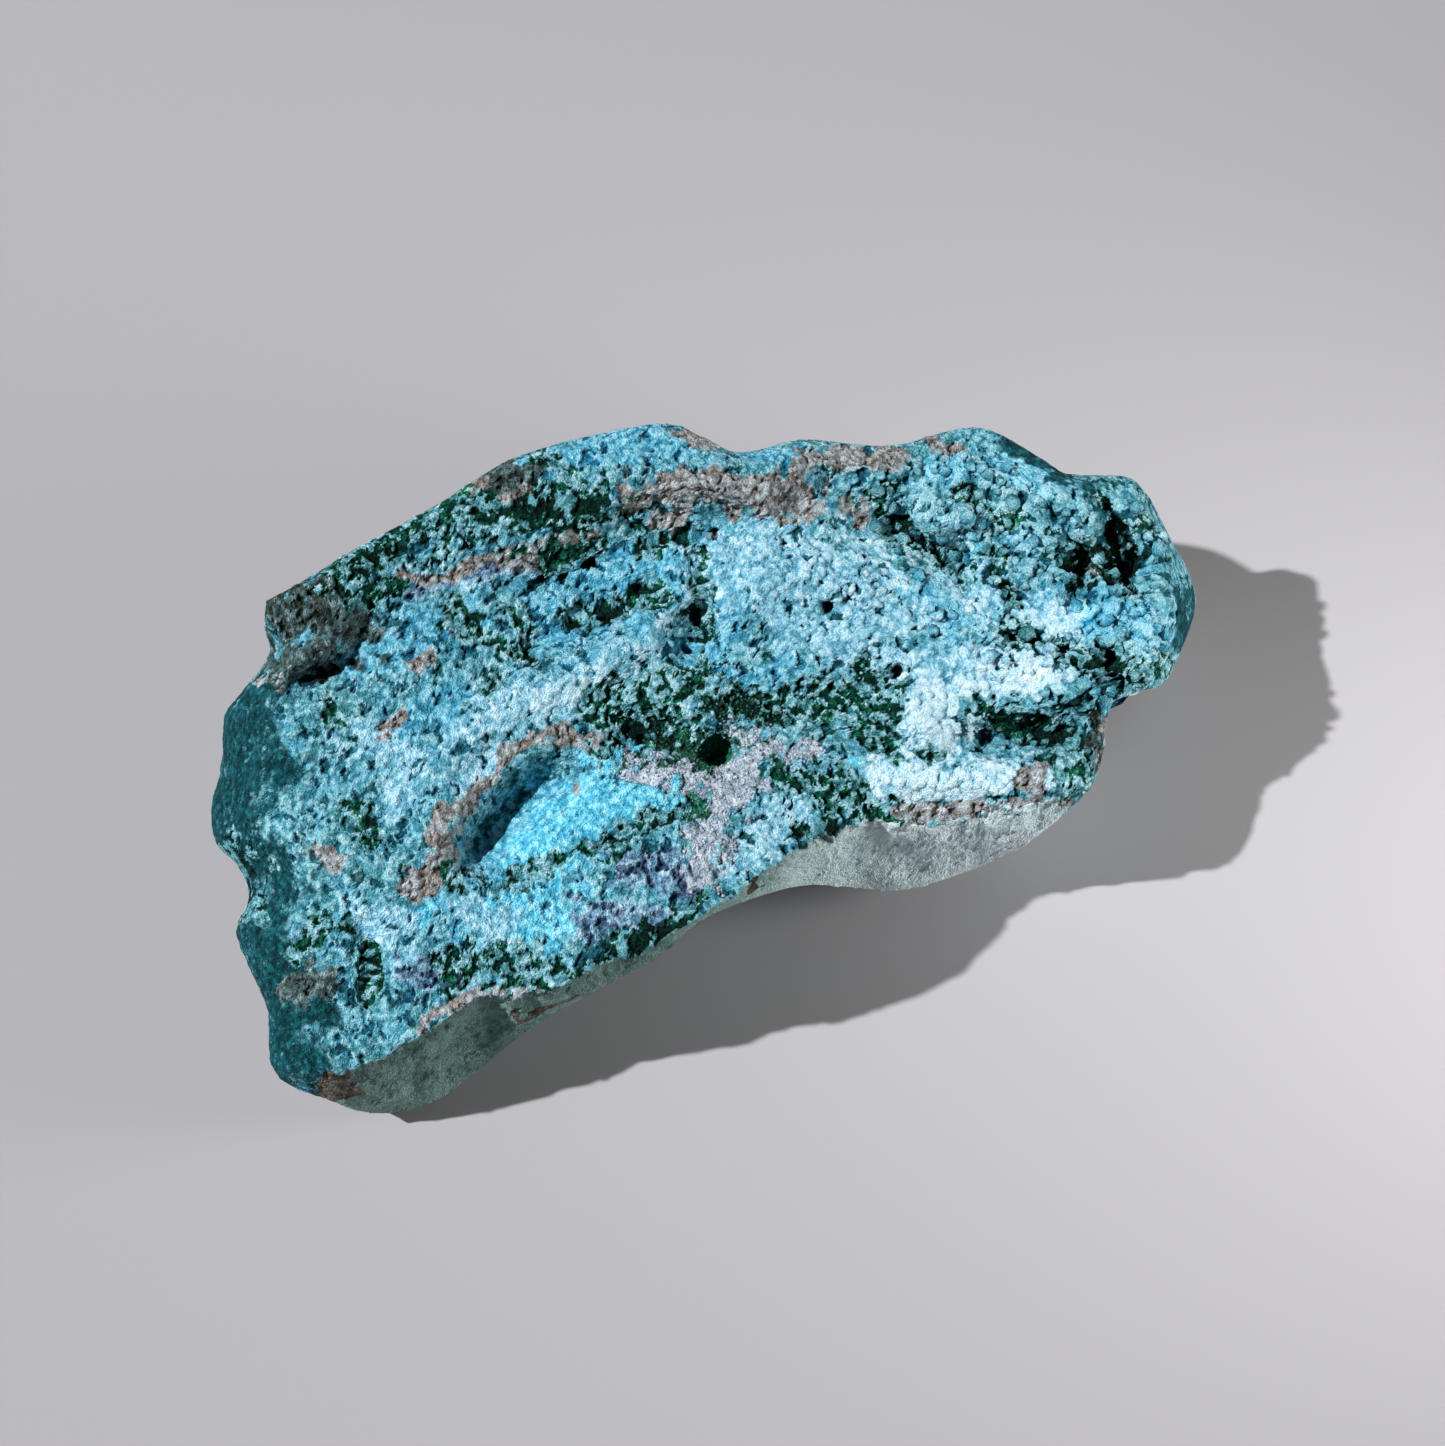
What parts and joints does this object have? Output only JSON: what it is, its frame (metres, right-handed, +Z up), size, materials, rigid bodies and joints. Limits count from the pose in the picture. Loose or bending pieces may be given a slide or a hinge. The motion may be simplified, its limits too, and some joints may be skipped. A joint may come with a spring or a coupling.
{
  "type": "chrysocolla and malachite specimen",
  "caption": "Natural stone specimen: a long irregular slab of turquoise chrysocolla crust with dark green malachite and grey-brown matrix, resting on a flat patch underneath.",
  "frame": {"origin": "on the ground under the middle of the stone's bounding box", "axes": "+X along the stone, from its broad smooth end to its knobby end; +Y from the worn wall towards the rolled rim; +Z up"},
  "size_m": [0.0928, 0.0498, 0.0293],
  "materials": {
    "mineral_crust": "rough, granular, matt"
  },
  "bodies": {
    "root": {"stone": "mineral_crust"}
  },
  "joints": []
}
